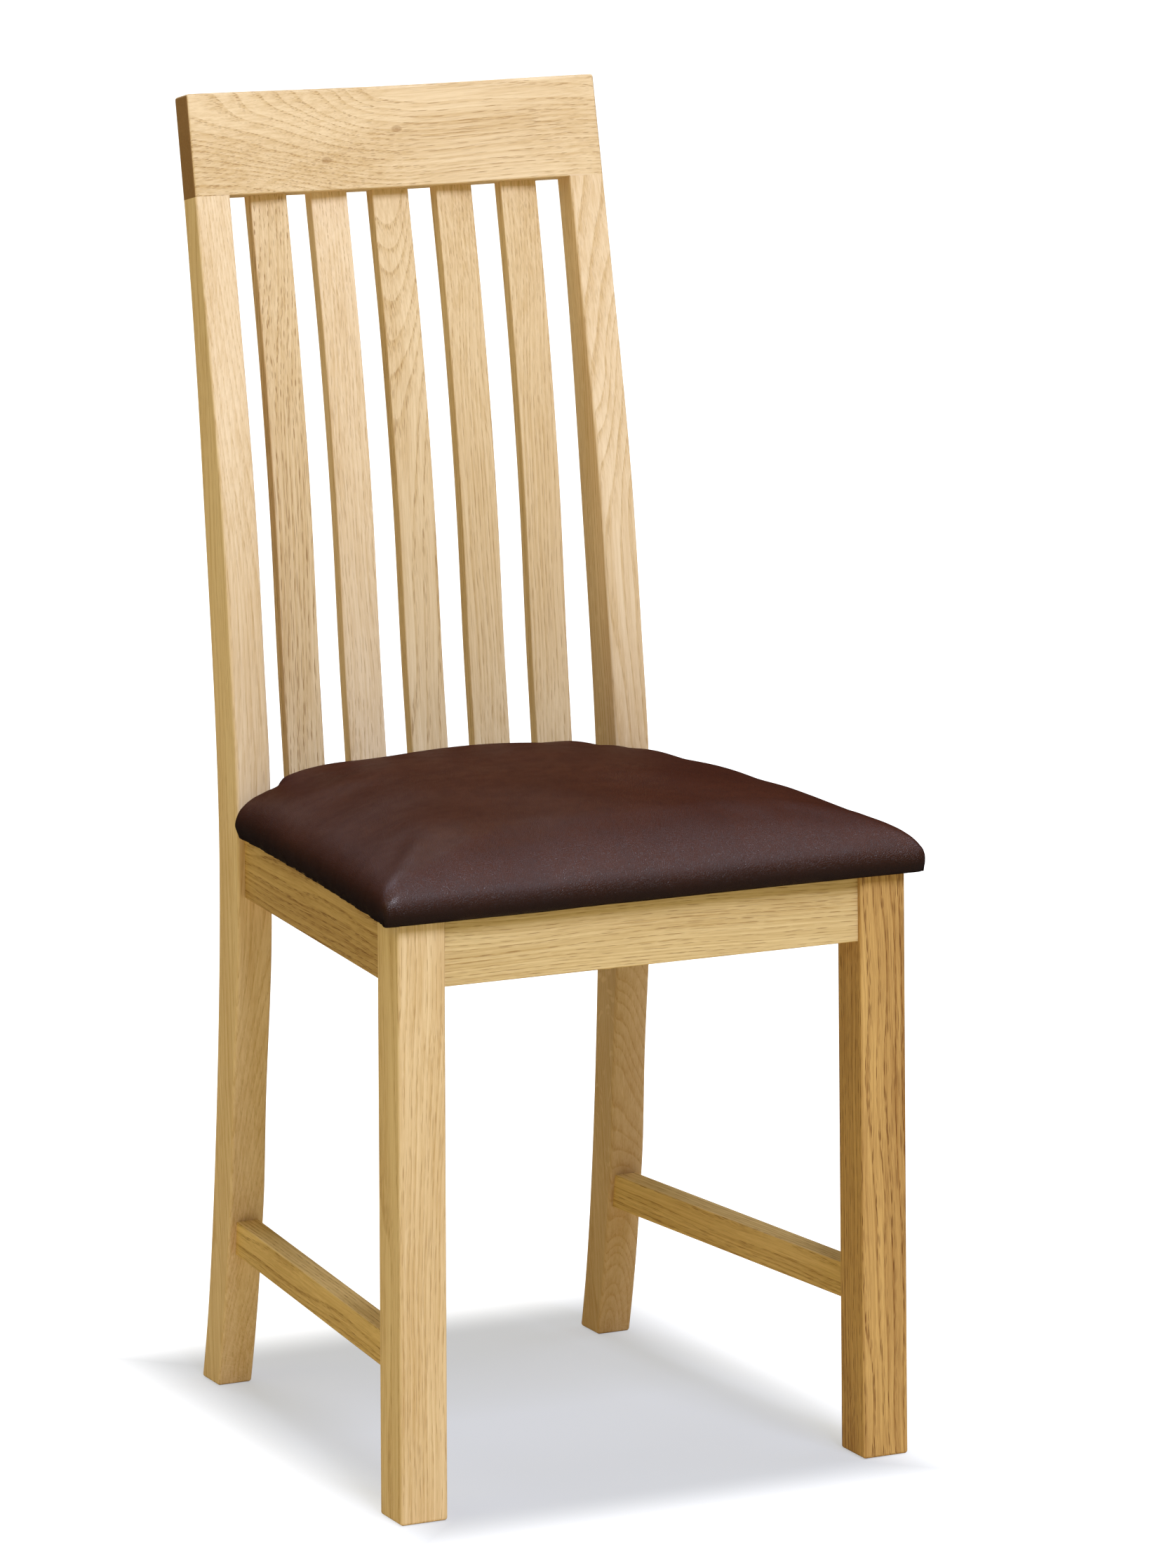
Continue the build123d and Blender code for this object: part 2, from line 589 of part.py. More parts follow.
def build():
    """Every node of the chair, by name, as a solid or a list of solids."""
    front_leg = front_leg_blank()
    rear_leg = rear_leg_blank()
    rails = rail_dowels()
    posts = post_dowels()
    stretcher, stretcher_mortise = stretcher_parts([front_leg, rear_leg])
    slats = [slat_parts(number + 1) for number in range(SLAT_COUNT)]
    front_block, rear_block = right_corner_blocks()
    block_holes = front_block[2] + rear_block[2]
    seat_holes = both([front_block[4], rear_block[4]])
    holes = {joint: [hole for pin, hole in pairs] for joint, pairs in rails.items()}
    pins = {joint: [pin for pin, hole in pairs] for joint, pairs in rails.items()}
    post_pins = [pin for pin, hole in posts]
    post_holes = [hole for pin, hole in posts]

    front_rail = front_rail_blank(both([front_leg]))
    front_rail = cut_all(front_rail, both(holes["front_rail"] + block_holes))
    rear_rail = rear_rail_blank(both([rear_leg]))
    rear_rail = cut_all(rear_rail, both(holes["rear_rail"] + block_holes))
    rear_rail = cut_all(rear_rail, [low for slat, low, high in slats])
    side_rail = side_rail_blank([front_leg, rear_leg])
    side_cuts = holes["side_rail_front"] + holes["side_rail_rear"] + block_holes
    side_rail = cut_all(side_rail, side_cuts)
    top_rail = cut_all(top_rail_blank(), both(post_holes) + [high for slat, low, high in slats])
    front_cuts = holes["front_rail"] + holes["side_rail_front"] + [stretcher_mortise]
    front_leg = cut_all(front_leg, front_cuts)
    rear_cuts = holes["rear_rail"] + holes["side_rail_rear"] + post_holes + [stretcher_mortise]
    rear_leg = cut_all(rear_leg, rear_cuts)

    nodes = {
        "front_leg_right": front_leg,
        "front_leg_left": mirrored(front_leg),
        "rear_leg_right": rear_leg,
        "rear_leg_left": mirrored(rear_leg),
        "top_rail": top_rail,
        "front_seat_rail": front_rail,
        "rear_seat_rail": rear_rail,
        "side_seat_rail_right": side_rail,
        "side_seat_rail_left": mirrored(side_rail),
        "side_stretcher_right": stretcher,
        "side_stretcher_left": mirrored(stretcher),
        "corner_block_front_right": front_block[0],
        "corner_block_front_left": mirrored(front_block[0]),
        "corner_block_rear_right": rear_block[0],
        "corner_block_rear_left": mirrored(rear_block[0]),
        "front_rail_dowels": both(pins["front_rail"]),
        "side_rail_front_dowels": both(pins["side_rail_front"]),
        "side_rail_rear_dowels": both(pins["side_rail_rear"]),
        "rear_rail_dowels": both(pins["rear_rail"]),
        "top_rail_dowels": both(post_pins),
        "corner_block_screws": both(front_block[1] + rear_block[1]),
        "seat_fixing_screws": both([front_block[3], rear_block[3]]),
    }
    for number, parts in enumerate(slats, start=1):
        nodes[f"back_slat_{number}"] = parts[0]
    nodes.update(seat_pad(seat_holes))
    return nodes


def as_shape(item):
    """A single solid stays as it is, and a list becomes one group."""
    if isinstance(item, list):
        return Compound(children=[solid for part in item for solid in part.solids()])
    return item.solids()[0]


def main():
    """Write one STEP file for each node."""
    os.makedirs("parts", exist_ok=True)
    shapes = {name: as_shape(item) for name, item in build().items()}
    boxes = [shape.bounding_box() for shape in shapes.values()]
    front_y = min(box.min.Y for box in boxes)
    rear_y = max(box.max.Y for box in boxes)
    move = Pos(0, -(front_y + rear_y) / 2, 0)
    for name, shape in shapes.items():
        export_step(move * shape, f"parts/{name}.step")
    print(f"{len(shapes)} nodes, depth {rear_y - front_y:.1f}")


main()
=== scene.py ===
"""Looks of the slat-back dining chair: oak frame, leather seat pad, plain studio.

Metres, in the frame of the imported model: +Z up, the chair faces -Y, left is -X,
and the origin is on the floor at the centre of the chair's footprint.
"""
import math

import bmesh
import bpy
from mathutils import Matrix, Vector, noise


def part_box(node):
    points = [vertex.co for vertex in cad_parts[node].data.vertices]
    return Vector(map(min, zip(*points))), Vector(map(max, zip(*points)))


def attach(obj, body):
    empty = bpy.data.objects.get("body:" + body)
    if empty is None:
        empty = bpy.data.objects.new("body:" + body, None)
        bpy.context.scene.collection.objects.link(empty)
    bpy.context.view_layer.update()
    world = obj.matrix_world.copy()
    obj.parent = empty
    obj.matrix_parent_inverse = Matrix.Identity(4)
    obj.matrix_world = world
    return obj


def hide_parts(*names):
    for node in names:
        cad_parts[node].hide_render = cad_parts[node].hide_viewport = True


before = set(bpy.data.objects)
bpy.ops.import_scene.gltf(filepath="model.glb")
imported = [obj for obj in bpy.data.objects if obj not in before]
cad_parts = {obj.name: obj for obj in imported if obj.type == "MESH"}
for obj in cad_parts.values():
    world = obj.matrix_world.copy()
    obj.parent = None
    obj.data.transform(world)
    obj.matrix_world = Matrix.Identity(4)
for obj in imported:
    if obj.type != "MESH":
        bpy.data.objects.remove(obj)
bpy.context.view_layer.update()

# ---- camera --------------------------------------------------------------
CAMERA_PLACE = Vector((-2.3794, -5.0542, 1.5808))
CAMERA_AZIMUTH = -25.73      # degrees, 0 looks along +Y
CAMERA_ELEVATION = 10.72     # degrees above the horizon
CAMERA_ROLL = 0.45           # degrees, about the line of sight
CAMERA_LENS = 162.03         # millimetres, on a 36 mm sensor
CAMERA_SENSOR = 36.0

# ---- seat pad ------------------------------------------------------------
PAD_FRONT_CORNER_X = 0.2372  # half the pad's width at the front edge
PAD_REAR_CORNER_X = 0.1945   # and level with the front of the posts
PAD_TONGUE_X = 0.1530        # half the width of the part between the posts
PAD_TONGUE_BACK = 0.0235     # how far that part runs on behind the corners
PAD_TONGUE_EDGE = (-0.004, 0.008)    # where its sides start and end, inside that width
PAD_SIDE_PULL = 0.0035       # the edges pull in by this much between corners
PAD_RIM_RISE = 0.0095        # widest line of the side, above the seat rails
PAD_ROLL_RISE = 0.0360       # from that line up to the top of the roll
PAD_CROWN_RISE = 0.0245      # from there up to the crown
PAD_CROWN_FULLNESS = 0.8     # below 1 for flanks fuller than a plain dome
PAD_SIDE_ROLL = (0.100, 0.29)    # run and roundness of the roll along the sides
PAD_FRONT_ROLL = (0.046, 0.50)
PAD_REAR_ROLL = (0.014, 0.50)
PAD_UNDER_ROLL = (0.008, 0.50)
PAD_CORNER_FULLNESS = 3.0    # how full the corners are, where two rolls meet
PAD_SAG = 0.0034             # drop of the overhanging edge, before the smoothing takes some back
PAD_SAG_RUN = 0.011          # within this distance of the edge
PAD_HEM_WAVE = 0.0028        # unevenness of the lower edge
PAD_WAVE_SCALE = 14          # and its waves per metre
UNDERSIDE_FACING = -0.55     # how far down a point must face to belong to the underside
PAD_LIFT = 0.0003            # height of the level underside above the seat rails
PAD_STEPS = 96               # quads across the starting form
PAD_VOXEL = 0.005
PAD_HELD = (0.011, 0.026)    # held by the board up to here, and free from here up
PAD_CAP = 0.0022             # furthest that the simulation may move a point
CLOTH_PRESSURE = 5.0
CLOTH_STIFFNESS = 40.0
CLOTH_BENDING = 2.0
CLOTH_FRAMES = 20
PAD_SMOOTHING = 14           # rounds of smoothing, for leather pulled taut

PAD_PAINTED_SHADE_HEIGHTS = (0.478, 0.508)    # heights below which painted shade darkens the leather's sides and lower front roll towards the hem
LEATHER_SHEEN = (1.0, 0.90, 0.78, 1.0)   # tint of its reflections
END_GRAIN = (0.235, 0.098, 0.026, 1.0)
RING_WIDTH = 0.0034          # of one year's growth
RING_UNEVENNESS = 4.0        # how many rings their widths drift by
RING_TONE = [(0.0, 0.35), (0.08, 1.0), (0.26, 0.45), (0.65, 0.1), (1.0, 0.0)]
# Cells per metre, along the grain and twice across it.
WOBBLE_STRETCH = (2.2, 9, 9)     # slow bends of the grain
WOBBLE_SHIFT = (0, 0.03, 0.03)   # metres that they move it
FIBRE_STRETCH = (5, 480, 480)
BROAD_STRETCH = (2.2, 30, 30)    # drifts of tone along a board
PORE_STRETCH = (55, 1150, 1150)
LONG_PORE_STRETCH = (20, 800, 800)
RAY_STRETCH = (75.0, 95.0, 60.0)     # along the grain, per radian round the log, and outwards
BROAD_SHARE = 0.45           # what each adds to the dark tone
RING_SHARE = 0.55
FIBRE_SHARE = 0.50
TONE_SHARE = 0.85            # of the dark tone where all three are at their most
PORE_SHARE = 0.80
RAY_SHARE = 0.25
PORE_SHADE = (0.56, 0.44, 0.32, 1.0)  # share of the dark tone that shows in a pore
KNOT_SIZE = 0.0034           # half the height of a pin knot, with its halo
SEAT_SHADE_HEIGHTS = (0.40, 0.70)    # heights between which the painted shade of the seat on the rear legs fades out, darker below


# ---- colours -------------------------------------------------------------
def linear(level):
    """Linear value of one 0-255 sRGB level."""
    share = level / 255
    if share <= 0.04045:
        return share / 12.92
    return ((share + 0.055) / 1.055) ** 2.4


def colour(red, green, blue):
    """Linear RGBA of an sRGB colour given in 0-255 levels."""
    return (linear(red), linear(green), linear(blue), 1.0)


# ---- node trees ----------------------------------------------------------
class Shader:
    """A new material, with short calls that add nodes to it."""

    def __init__(self, name):
        self.material = bpy.data.materials.new(name)
        self.material.use_nodes = True
        self.tree = self.material.node_tree
        self.surface = self.tree.nodes["Principled BSDF"]

    def add(self, kind, inputs=None, **settings):
        """A node with its settings, its inputs set to values or joined to sockets."""
        made = self.tree.nodes.new(kind)
        for key, value in settings.items():
            setattr(made, key, value)
        for key, value in (inputs or {}).items():
            self.put(made.inputs[key], value)
        return made

    def put(self, socket, value):
        """Join a socket to another, or set it to a value."""
        if isinstance(value, bpy.types.NodeSocket):
            self.tree.links.new(value, socket)
        else:
            socket.default_value = value

    def place(self):
        """Where on the chair a point is, in metres."""
        return self.add("ShaderNodeTexCoord").outputs["Object"]

    def math(self, operation, a, b=0.0, c=0.0):
        """One step of arithmetic."""
        made = self.add("ShaderNodeMath", {0: a, 1: b, 2: c}, operation=operation)
        return made.outputs[0]

    def vector_math(self, operation, a, b):
        """One step of vector arithmetic."""
        made = self.add("ShaderNodeVectorMath", {0: a, 1: b}, operation=operation)
        return made.outputs["Value" if operation == "LENGTH" else "Vector"]

    def noise(self, vector, scale, detail=2.0, rough=0.5):
        """Soft noise from 0 to 1."""
        inputs = {"Vector": vector, "Scale": scale, "Detail": detail, "Roughness": rough}
        return self.add("ShaderNodeTexNoise", inputs).outputs["Fac"]

    def cells(self, vector, scale, feature="F1"):
        """Distance to the nearest of many scattered points, or to the cell wall."""
        inputs = {"Vector": vector, "Scale": scale}
        made = self.add("ShaderNodeTexVoronoi", inputs, feature=feature)
        return made.outputs["Distance"]

    def span(self, value, low, high, first=0.0, last=1.0):
        """value taken smoothly from low..high to first..last."""
        inputs = {"Value": value, "From Min": low, "From Max": high,
                  "To Min": first, "To Max": last}
        made = self.add("ShaderNodeMapRange", inputs, interpolation_type="SMOOTHSTEP")
        return made.outputs["Result"]

    def ramp(self, value, stops):
        """Grey level along a list of (place, level)."""
        made = self.add("ShaderNodeValToRGB", {"Fac": value})
        points = made.color_ramp.elements
        while len(points) < len(stops):
            points.new(1.0)
        for point, (where, level) in zip(points, stops):
            point.position = where
            point.color = (level, level, level, 1.0)
        return made.outputs["Color"]

    def blend(self, share, a, b, kind="MIX"):
        """Mix of two colours."""
        made = self.add("ShaderNodeMix", {0: share, 6: a, 7: b}, data_type="RGBA", blend_type=kind)
        return made.outputs[2]

    def stretch(self, vector, factors):
        """A vector with each part multiplied."""
        return self.vector_math("MULTIPLY", vector, factors)

    def bump(self, height, depth, strength=1.0, under=None):
        """Surface normal for a height from 0 to 1, depth metres tall."""
        inputs = {"Height": height, "Distance": depth, "Strength": strength}
        if under is not None:
            inputs["Normal"] = under
        return self.add("ShaderNodeBump", inputs).outputs["Normal"]

    def finish(self, **sockets):
        """Set the surface's sockets by name, with _ for a space, and return the material."""
        for key, value in sockets.items():
            self.put(self.surface.inputs[key.replace("_", " ")], value)
        return self.material


# ---- materials -----------------------------------------------------------
def grain_frame(shader, lengthwise, pith):
    """Coordinates of a board: X along its grain, Y and Z out from the tree's centre."""
    turn = Vector((1, 0, 0)).rotation_difference(Vector(lengthwise)).to_euler()
    inputs = {"Vector": shader.place(), "Location": pith, "Rotation": turn}
    return shader.add("ShaderNodeMapping", inputs, vector_type="TEXTURE").outputs["Vector"]


def oak(name, lengthwise, pith, light, dark, pore_depth, ring_depth, knots, seat_shade_share):
    """Lacquered oak: growth rings, pores, rays and fibre, cut from a round log.

    lengthwise is the way the grain runs, and pith a point on the log's centre line.
    pore_depth and ring_depth are 1 for pores and rings of ordinary strength, and
    knots are the places (X, Z) of pin knots that run from front to back; the last
    argument is the share of painted shade, in the pore colour, below the seat,
    where the seat shades the legs.
    """
    s = Shader(name)
    grain = grain_frame(s, lengthwise, pith)
    wobble = s.add("ShaderNodeTexNoise", {"Vector": s.stretch(grain, WOBBLE_STRETCH), "Scale": 1.0,
                                          "Detail": 2.5, "Roughness": 0.5}).outputs["Color"]
    shift = s.stretch(s.vector_math("SUBTRACT", wobble, (0.5, 0.5, 0.5)), WOBBLE_SHIFT)
    bent = s.vector_math("ADD", grain, shift)
    across = s.stretch(bent, (0, 1, 1))
    radius = s.vector_math("LENGTH", across, (0, 0, 0))

    uneven = s.add("ShaderNodeTexNoise", {"W": radius, "Scale": 60.0, "Detail": 1.0},
                   noise_dimensions="1D").outputs["Fac"]
    turns = s.math("ADD", s.math("DIVIDE", radius, RING_WIDTH), s.math("MULTIPLY", uneven, RING_UNEVENNESS))
    year = s.math("FRACT", turns)
    early = s.ramp(year, RING_TONE)

    fibre = s.noise(s.stretch(bent, FIBRE_STRETCH), 1.0, 3.0, 0.65)
    broad = s.noise(s.stretch(grain, BROAD_STRETCH), 1.0, 3.0, 0.55)
    pore_cells = s.cells(s.stretch(bent, PORE_STRETCH), 1.0)
    pores = s.math("MULTIPLY", s.span(pore_cells, 0.42, 0.24), s.span(early, 0.1, 0.7, 0.15, 1.0))
    long_cells = s.cells(s.stretch(bent, LONG_PORE_STRETCH), 1.0)
    long_pores = s.math("MULTIPLY", s.span(long_cells, 0.32, 0.18), s.span(broad, 0.40, 0.62, 0.0, 0.8))
    all_pores = s.math("MAXIMUM", pores, long_pores)

    split = s.add("ShaderNodeSeparateXYZ", {0: bent}).outputs
    angle = s.math("ARCTAN2", split["Y"], split["Z"])
    along, around, outward = RAY_STRETCH
    ray_place = s.add("ShaderNodeCombineXYZ", {"X": s.math("MULTIPLY", split["X"], along),
                                               "Y": s.math("MULTIPLY", angle, around),
                                               "Z": s.math("MULTIPLY", radius, outward)})
    rays = s.span(s.cells(ray_place.outputs[0], 1.0), 0.36, 0.18)

    tone = s.math("MULTIPLY", s.span(broad, 0.28, 0.72), BROAD_SHARE)
    tone = s.math("ADD", tone, s.math("MULTIPLY", early, RING_SHARE * ring_depth))
    tone = s.math("ADD", tone, s.math("MULTIPLY", s.span(fibre, 0.32, 0.70), FIBRE_SHARE))
    base = s.blend(s.math("MULTIPLY", tone, TONE_SHARE), light, dark)
    deep = tuple(level * share for level, share in zip(dark, PORE_SHADE))
    # Painted shade: the wood turns darker below the seat, where the seat shades the rear legs.
    rise = s.add("ShaderNodeSeparateXYZ", {0: s.place()}).outputs["Z"]
    base = s.blend(s.span(rise, *SEAT_SHADE_HEIGHTS, seat_shade_share, 0.0), base, deep)
    flecked = s.blend(s.math("MULTIPLY", rays, RAY_SHARE), base, light)
    facing = s.add("ShaderNodeVectorMath", {0: s.add("ShaderNodeNewGeometry").outputs["Normal"],
                                            1: Vector(lengthwise).normalized()},
                   operation="DOT_PRODUCT").outputs["Value"]
    end_grain = s.span(s.math("ABSOLUTE", facing), 0.55, 0.95)
    flecked = s.blend(s.math("MULTIPLY", end_grain, 0.85), flecked, END_GRAIN)
    painted = s.blend(s.math("MULTIPLY", all_pores, min(PORE_SHARE * pore_depth, 1.0)), flecked, deep)
    for x, z in knots:
        aside = s.vector_math("SUBTRACT", s.place(), (x, 0.0, z))
        gap = s.vector_math("LENGTH", s.stretch(aside, (0.6, 0, 1)), (0, 0, 0))
        halo = s.span(gap, KNOT_SIZE, 0.6 * KNOT_SIZE, 0.0, 0.45)
        core = s.span(gap, 0.4 * KNOT_SIZE, 0.2 * KNOT_SIZE, 0.0, 0.6)
        painted = s.blend(s.math("MAXIMUM", halo, core), painted, deep)

    height = s.math("SUBTRACT", s.math("MULTIPLY", fibre, 0.25), s.math("MULTIPLY", all_pores, 0.8))
    normal = s.bump(height, 0.00014, 0.9)
    rough = s.math("ADD", s.span(fibre, 0.3, 0.7, 0.44, 0.54), s.math("MULTIPLY", all_pores, 0.2))
    return s.finish(Base_Color=painted, Roughness=rough, Normal=normal, Specular_IOR_Level=0.35)


def leather():
    """Smooth dark brown upholstery leather with a fine pebble."""
    s = Shader("leather_brown")
    place = s.place()
    cloud = s.noise(place, 9.0, 3.0, 0.55)
    mottle = s.noise(place, 55.0, 3.0, 0.6)
    warped = s.vector_math("ADD", place, s.stretch(
        s.add("ShaderNodeTexNoise", {"Vector": place, "Scale": 420.0}).outputs["Color"],
        (0.0012, 0.0012, 0.0012)))
    pebble = s.cells(warped, 720.0, "DISTANCE_TO_EDGE")
    pores = s.span(s.cells(warped, 1500.0), 0.28, 0.12)
    crease = s.span(pebble, 0.0, 0.16)
    base = s.blend(s.span(cloud, 0.3, 0.7), colour(71, 32, 17), colour(79, 38, 21))
    base = s.blend(s.math("MULTIPLY", s.span(mottle, 0.35, 0.7), 0.5), base, colour(66, 31, 19))
    base = s.blend(s.math("MULTIPLY", s.span(crease, 1.0, 0.0), 0.5), base, colour(36, 16, 9))
    # Painted shade: the pad's sides and the foot of its front roll turn darker towards the hem, as if in
    # shadow.
    rise = s.add("ShaderNodeSeparateXYZ", {0: place}).outputs["Z"]
    base = s.blend(s.span(rise, *PAD_PAINTED_SHADE_HEIGHTS, 0.85, 0.0), base, colour(24, 10, 6))
    height = s.math("SUBTRACT", crease, s.math("MULTIPLY", pores, 0.4))
    soft = s.bump(s.noise(place, 60.0, 2.0), 0.0003, 0.25)
    normal = s.bump(height, 0.00014, 0.7, soft)
    slant = s.add("ShaderNodeLayerWeight", {"Blend": 0.5}).outputs["Facing"]
    rough = s.math("ADD", s.span(mottle, 0.3, 0.7, 0.34, 0.40), s.span(slant, 0.4, 0.8, 0.0, 0.2))
    shine = s.span(slant, 0.35, 0.80, 0.44, 0.05)
    return s.finish(Base_Color=base, Roughness=rough, Normal=normal,
                    Specular_IOR_Level=shine, Specular_Tint=LEATHER_SHEEN)


def plywood():
    """Birch plywood: pale faces, and plies that show at the edges."""
    s = Shader("plywood_board")
    place = s.place()
    parts = s.add("ShaderNodeSeparateXYZ", {0: place}).outputs
    ply = s.math("FRACT", s.math("MULTIPLY", parts["Z"], 1 / 0.0028))
    band = s.ramp(ply, [(0.0, 0.1), (0.42, 0.2), (0.5, 0.9), (0.92, 0.8), (1.0, 0.1)])
    streak = s.noise(s.stretch(place, (6, 260, 260)), 1.0, 3.0)
    base = s.blend(band, colour(214, 186, 142), colour(176, 140, 94))
    base = s.blend(s.math("MULTIPLY", streak, 0.4), base, colour(150, 116, 74))
    return s.finish(Base_Color=base, Roughness=0.62, Normal=s.bump(streak, 0.0001, 0.6))


def soft_wood(name, light, dark, lengthwise):
    """Unfinished wood of a hidden block or a dowel."""
    s = Shader(name)
    grain = grain_frame(s, lengthwise, (0.0, 0.05, 0.3))
    wave = s.noise(s.stretch(grain, (4, 60, 60)), 1.0, 3.0)
    year = s.math("FRACT", s.math("MULTIPLY", wave, 9.0))
    fibre = s.noise(s.stretch(grain, (12, 700, 700)), 1.0, 2.0)
    tone = s.math("ADD", s.math("MULTIPLY", year, 0.5), s.math("MULTIPLY", fibre, 0.5))
    base = s.blend(tone, light, dark)
    return s.finish(Base_Color=base, Roughness=0.7, Normal=s.bump(fibre, 0.0001, 0.7))


def dust_cloth():
    """Thin black felted cloth, with a faint grid of heat-pressed points."""
    s = Shader("dust_cloth_black")
    place = s.place()
    fibre = s.noise(place, 900.0, 4.0, 0.7)
    parts = s.add("ShaderNodeSeparateXYZ", {0: place}).outputs
    rows = [s.math("SINE", s.math("MULTIPLY", parts[axis], 2400.0)) for axis in ("X", "Y")]
    points = s.span(s.math("MULTIPLY", rows[0], rows[1]), 0.35, 0.8)
    base = s.blend(fibre, colour(18, 18, 19), colour(52, 52, 54))
    base = s.blend(s.math("MULTIPLY", points, 0.6), base, colour(12, 12, 13))
    height = s.math("SUBTRACT", fibre, points)
    return s.finish(Base_Color=base, Roughness=0.9, Normal=s.bump(height, 0.0002, 0.8))


def metal(name, tint, rough):
    """Bright plated steel with fine turning marks and dull patches."""
    s = Shader(name)
    place = s.place()
    marks = s.noise(s.stretch(place, (300, 300, 2600)), 1.0, 2.0)
    dull = s.noise(place, 240.0, 3.0)
    base = s.blend(s.span(dull, 0.35, 0.7), tint, tuple(0.55 * v for v in tint[:3]) + (1.0,))
    roughness = s.span(dull, 0.3, 0.7, rough - 0.08, rough + 0.14)
    return s.finish(Base_Color=base, Metallic=1.0, Roughness=roughness,
                    Normal=s.bump(marks, 0.00003, 0.5))


# ---- dressing the frame --------------------------------------------------
def dress(node, material):
    """Give a CAD node one material."""
    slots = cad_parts[node].data.materials
    slots.clear()
    slots.append(material)


# Light and dark tone of each oak piece, as boards differ in a real chair.
PALE = (colour(243, 213, 175), colour(212, 174, 124))
HONEY = (colour(236, 205, 162), colour(202, 163, 110))
GOLD = (colour(226, 196, 145), colour(186, 149, 92))
TAN = (colour(214, 176, 116), colour(166, 122, 64))
AMBER = (colour(232, 194, 128), colour(186, 144, 78))
BROWN = (colour(214, 169, 103), colour(150, 101, 46))
PINE = (colour(226, 196, 148), colour(186, 146, 94))
BEECH = (colour(222, 188, 150), colour(190, 150, 112))
ZINC = colour(206, 200, 186)
PIN_KNOTS = {"top_rail": ((-0.061, 1.0105), (0.0056, 1.0324))}
# Share of painted seat shade that each rear leg takes below the seat.
SEAT_SHADE_SHARES = {"rear_leg_left": 0.12, "rear_leg_right": 0.50}

UP = (0, 0, 1)
SIDEWAYS = (1, 0, 0)

# Piece: tones, way of the grain, how far out and back the log's centre lies from
# the middle of the piece, and how strong its pores and its growth rings show.
OAK_PIECES = {
    "top_rail": (HONEY, (1.0, -0.10, 0.06), (0.040, 0.055), 0.8, 0.8),
    "rear_leg_left": (PALE, (0.02, 0.05, 1.0), (-0.055, 0.030), 0.35, 0.7),
    "rear_leg_right": (PALE, (-0.03, 0.10, 1.0), (0.020, 0.050), 0.45, 1.1),
    "front_leg_left": (HONEY, (0.012, 0.0, 1.0), (-0.060, 0.020), 0.6, 0.8),
    "front_leg_right": (BROWN, (-0.02, 0.01, 1.0), (0.030, 0.045), 1.4, 0.9),
    "front_seat_rail": (GOLD, (1.0, 0.0, -0.02), (0.080, 0.012), 0.8, 0.8),
    "rear_seat_rail": (GOLD, (1.0, 0.01, 0.01), (0.030, 0.050), 0.8, 1.0),
    "side_seat_rail_left": (TAN, (-0.09, -1.0, 0.01), (0.030, 0.050), 1.0, 1.0),
    "side_seat_rail_right": (GOLD, (0.09, -1.0, 0.0), (0.030, 0.045), 0.8, 1.0),
    "side_stretcher_left": (AMBER, (-0.09, -1.0, 0.01), (0.028, 0.040), 0.9, 1.0),
    "side_stretcher_right": (AMBER, (0.09, -1.0, -0.01), (0.034, 0.038), 0.9, 1.0),
    "back_slat_1": (HONEY, (0.01, 0.09, 1.0), (0.050, 0.030), 1.2, 0.8),
    "back_slat_2": (PALE, (-0.01, 0.09, 1.0), (0.070, 0.010), 0.6, 0.6),
    "back_slat_3": (HONEY, (0.02, 0.09, 1.0), (0.020, 0.060), 0.8, 0.8),
    "back_slat_4": (HONEY, (-0.02, 0.09, 1.0), (0.055, 0.022), 0.6, 0.8),
    "back_slat_5": (HONEY, (0.01, 0.09, 1.0), (0.060, 0.020), 0.6, 0.7),
}


def pith_point(node, lengthwise, offsets):
    """A point on the log's centre line, set off square to the grain of a piece."""
    low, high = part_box(node)
    run = Vector(lengthwise).normalized()
    back = (Vector((0, 1, 0)) - run * run.y).normalized() if abs(run.y) < 0.7 else Vector((1, 0, 0))
    other = run.cross(back)
    return (low + high) / 2 + other * offsets[0] + back * offsets[1]


def dress_oak():
    """A board of its own for every oak piece."""
    for node, (tones, lengthwise, offsets, pores, rings) in OAK_PIECES.items():
        pith = pith_point(node, lengthwise, offsets)
        extras = (PIN_KNOTS.get(node, ()), SEAT_SHADE_SHARES.get(node, 0.0))
        dress(node, oak(f"oak_{node}", lengthwise, pith, *tones, pores, rings, *extras))


def dress_hidden():
    """Blocks, dowels, board, dust cover and fixings."""
    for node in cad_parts:
        if node.startswith("corner_block_") and node != "corner_block_screws":
            dress(node, soft_wood(f"pine_{node}", *PINE, SIDEWAYS))
        if node.endswith("_dowels"):
            dress(node, soft_wood(f"beech_{node}", *BEECH, UP))
    dress("seat_board", plywood())
    dress("seat_dust_cover", dust_cloth())
    steel = metal("steel_zinc", ZINC, 0.34)
    for node in ("corner_block_screws", "seat_fixing_screws", "seat_staples"):
        dress(node, steel)


# ---- seat pad ------------------------------------------------------------
def pad_edges():
    """Front and rear edge of the pad in plan, and the height that it stands on."""
    low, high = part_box("seat_cover")
    return low.y, high.y - PAD_TONGUE_BACK, low.z + PAD_LIFT


def rolled(distance, run, power):
    """Height from 0 to 1 of a rolled edge, at a distance inside it."""
    near = 1 - min(max(distance, 0.0) / run, 1.0)
    return (1 - near * near) ** power


def smooth_step(value, low, high):
    """0 below low, 1 above high, and smooth between."""
    share = min(max((value - low) / (high - low), 0.0), 1.0)
    return share * share * (3 - 2 * share)


def side_line(share):
    """Half the pad's width between its corners, share of the way from front to rear."""
    return PAD_FRONT_CORNER_X + (PAD_REAR_CORNER_X - PAD_FRONT_CORNER_X) * share


